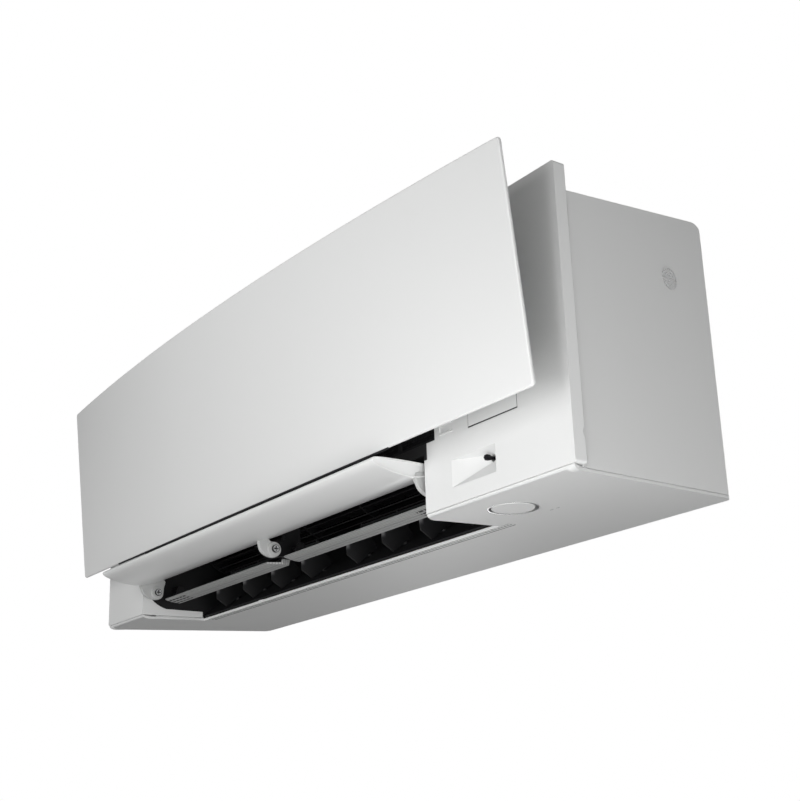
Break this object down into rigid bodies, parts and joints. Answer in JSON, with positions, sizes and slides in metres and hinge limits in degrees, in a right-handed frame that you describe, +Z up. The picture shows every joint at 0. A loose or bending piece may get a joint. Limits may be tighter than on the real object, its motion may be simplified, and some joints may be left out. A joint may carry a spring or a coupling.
{
  "type": "mini split indoor unit",
  "caption": "Wall-mounted indoor air conditioning unit, front panel forward on arms, outlet flap open, grooved blades, vanes, fan and coil inside.",
  "frame": {"origin": "middle of the four wall holes, on the wall plane", "axes": "+X to the right seen from the room, +Y into the wall, +Z up"},
  "size_m": [0.998, 0.3398, 0.3172],
  "materials": {
    "body_white": "satin moulded plastic",
    "panel_white": "smooth satin front",
    "black_plastic": "dull black",
    "filter_black": "fine net",
    "grey_plastic": "moulded",
    "grey_rubber": "soft",
    "zinc_steel": "zinc coated sheet",
    "steel": "plated",
    "fin_aluminium": "thin fins",
    "copper": "drawn copper",
    "brass_nut": "turned",
    "board_green": "coated board",
    "lens_dark": "smoked",
    "lamp_clear": "frosted",
    "bright_ring": "bright ring"
  },
  "bodies": {
    "unit": {"mounting_plate": "zinc_steel", "rear_chassis": "black_plastic", "casing_shell": "body_white", "bottom_cover": "body_white", "front_frame": "body_white", "service_cover": "body_white", "sensor_lens": "lens_dark", "sensor_grille": "body_white", "button_ring": "bright_ring", "lamp_lenses": "lamp_clear", "air_filter_left": "filter_black", "air_filter_right": "filter_black", "evaporator_front_lower": "fin_aluminium", "evaporator_front_upper": "fin_aluminium", "evaporator_rear": "fin_aluminium", "coil_tubes": "copper", "coil_sensor": "copper", "drain_pan": "black_plastic", "drain_tube": "grey_rubber", "electrical_box": "zinc_steel", "electrical_cover": "zinc_steel", "circuit_board": "board_green", "terminal_block": "black_plastic", "fan_motor": "grey_plastic", "fan_bearing": "grey_rubber", "gas_pipe": "copper", "liquid_pipe": "copper", "gas_flare_nut": "brass_nut", "liquid_flare_nut": "brass_nut", "panel_motors": "steel", "arm_guides": "grey_plastic", "flap_motor": "steel", "blade_motors": "steel", "vane_motors": "steel", "centre_stay": "black_plastic", "hinge_screws": "steel", "frame_screws": "steel"},
    "lower_arms": {"lower_arms": "body_white"},
    "upper_arms": {"upper_arms": "body_white"},
    "lower_pinions": {"lower_pinions": "grey_plastic"},
    "upper_pinions": {"upper_pinions": "grey_plastic"},
    "panel": {"front_panel": "panel_white", "panel_brackets": "body_white"},
    "flap": {"main_flap": "panel_white", "flap_arms": "body_white"},
    "blade_left": {"blade_left": "body_white"},
    "blade_right": {"blade_right": "body_white"},
    "link_left": {"link_left": "black_plastic"},
    "link_right": {"link_right": "black_plastic"},
    "fan": {"cross_flow_fan": "black_plastic"},
    "button": {"power_button": "body_white"},
    "vane_left_1": {"vane_left_1": "black_plastic"},
    "vane_left_2": {"vane_left_2": "black_plastic"},
    "vane_left_3": {"vane_left_3": "black_plastic"},
    "vane_left_4": {"vane_left_4": "black_plastic"},
    "vane_right_1": {"vane_right_1": "black_plastic"},
    "vane_right_2": {"vane_right_2": "black_plastic"},
    "vane_right_3": {"vane_right_3": "black_plastic"},
    "vane_right_4": {"vane_right_4": "black_plastic"}
  },
  "joints": [
    {"name": "panel_drive", "type": "slide", "parent": "unit", "child": "lower_arms", "axis": [0, -0.9673, 0.2537], "range_m": [-0.04224, 0]},
    {"name": "upper_arm_slide", "type": "slide", "parent": "unit", "child": "upper_arms", "axis": [0, -0.9842, 0.177], "range_m": [-0.05657, 0]},
    {"name": "panel_tilt", "type": "hinge", "parent": "lower_arms", "child": "panel", "pos_m": [0, -0.27596, -0.04828], "axis": [1, 0, 0], "range_deg": [-5.46, 0]},
    {"name": "lower_pinion_turn", "type": "hinge", "parent": "unit", "child": "lower_pinions", "pos_m": [0, -0.2196, -0.0778], "axis": [1, 0, 0], "range_deg": [-302.6, 0]},
    {"name": "upper_pinion_turn", "type": "hinge", "parent": "unit", "child": "upper_pinions", "pos_m": [0, -0.21948, 0.07971], "axis": [1, 0, 0], "range_deg": [-405.2, 0]},
    {"name": "flap_swing", "type": "hinge", "parent": "unit", "child": "flap", "pos_m": [0, -0.23, -0.13], "axis": [1, 0, 0], "range_deg": [0, 174]},
    {"name": "blade_left_swing", "type": "hinge", "parent": "unit", "child": "blade_left", "pos_m": [-0.227, -0.196, -0.124], "axis": [1, 0, 0], "range_deg": [-70, 0]},
    {"name": "blade_right_swing", "type": "hinge", "parent": "unit", "child": "blade_right", "pos_m": [0.104, -0.196, -0.124], "axis": [1, 0, 0], "range_deg": [-70, 0]},
    {"name": "vane_left_1_swing", "type": "hinge", "parent": "unit", "child": "vane_left_1", "pos_m": [-0.329, -0.127, -0.13995], "axis": [0, -0.5956, 0.8033], "range_deg": [-35, 35]},
    {"name": "vane_left_2_swing", "type": "hinge", "parent": "unit", "child": "vane_left_2", "pos_m": [-0.254, -0.127, -0.13995], "axis": [0, -0.5956, 0.8033], "range_deg": [-35, 35]},
    {"name": "vane_left_3_swing", "type": "hinge", "parent": "unit", "child": "vane_left_3", "pos_m": [-0.179, -0.127, -0.13995], "axis": [0, -0.5956, 0.8033], "range_deg": [-35, 35]},
    {"name": "vane_left_4_swing", "type": "hinge", "parent": "unit", "child": "vane_left_4", "pos_m": [-0.104, -0.127, -0.13995], "axis": [0, -0.5956, 0.8033], "range_deg": [-35, 35]},
    {"name": "link_left_swing", "type": "hinge", "parent": "vane_left_1", "child": "link_left", "pos_m": [-0.329, -0.13779, -0.10189], "axis": [0, -0.5956, 0.8033], "range_deg": [-35, 35]},
    {"name": "vane_right_1_swing", "type": "hinge", "parent": "unit", "child": "vane_right_1", "pos_m": [0, -0.127, -0.13995], "axis": [0, -0.5956, 0.8033], "range_deg": [-35, 35]},
    {"name": "vane_right_2_swing", "type": "hinge", "parent": "unit", "child": "vane_right_2", "pos_m": [0.075, -0.127, -0.13995], "axis": [0, -0.5956, 0.8033], "range_deg": [-35, 35]},
    {"name": "vane_right_3_swing", "type": "hinge", "parent": "unit", "child": "vane_right_3", "pos_m": [0.15, -0.127, -0.13995], "axis": [0, -0.5956, 0.8033], "range_deg": [-35, 35]},
    {"name": "vane_right_4_swing", "type": "hinge", "parent": "unit", "child": "vane_right_4", "pos_m": [0.225, -0.127, -0.13995], "axis": [0, -0.5956, 0.8033], "range_deg": [-35, 35]},
    {"name": "link_right_swing", "type": "hinge", "parent": "vane_right_1", "child": "link_right", "pos_m": [0, -0.13779, -0.10189], "axis": [0, -0.5956, 0.8033], "range_deg": [-35, 35]},
    {"name": "fan_spin", "type": "hinge", "parent": "unit", "child": "fan", "pos_m": [0, -0.112, -0.042], "axis": [1, 0, 0], "continuous": true},
    {"name": "power_button_press", "type": "slide", "parent": "unit", "child": "button", "axis": [0, 0, 1], "range_m": [0, 0.001], "stiffness_N_per_m": 400}
  ],
  "couplings": [
    {"joint": "upper_arm_slide", "follows": "panel_drive", "ratio": 1.3392},
    {"joint": "panel_tilt", "follows": "panel_drive", "rad_per_m": 2.252},
    {"joint": "lower_pinion_turn", "follows": "panel_drive", "rad_per_m": 125},
    {"joint": "upper_pinion_turn", "follows": "panel_drive", "rad_per_m": 167.4},
    {"joint": "blade_left_swing", "follows": "flap_swing", "ratio": -0.4023},
    {"joint": "blade_right_swing", "follows": "flap_swing", "ratio": -0.4023},
    {"joint": "vane_left_2_swing", "follows": "vane_left_1_swing", "ratio": 1},
    {"joint": "vane_left_3_swing", "follows": "vane_left_1_swing", "ratio": 1},
    {"joint": "vane_left_4_swing", "follows": "vane_left_1_swing", "ratio": 1},
    {"joint": "link_left_swing", "follows": "vane_left_1_swing", "ratio": -1},
    {"joint": "vane_right_2_swing", "follows": "vane_right_1_swing", "ratio": 1},
    {"joint": "vane_right_3_swing", "follows": "vane_right_1_swing", "ratio": 1},
    {"joint": "vane_right_4_swing", "follows": "vane_right_1_swing", "ratio": 1},
    {"joint": "link_right_swing", "follows": "vane_right_1_swing", "ratio": -1}
  ]
}
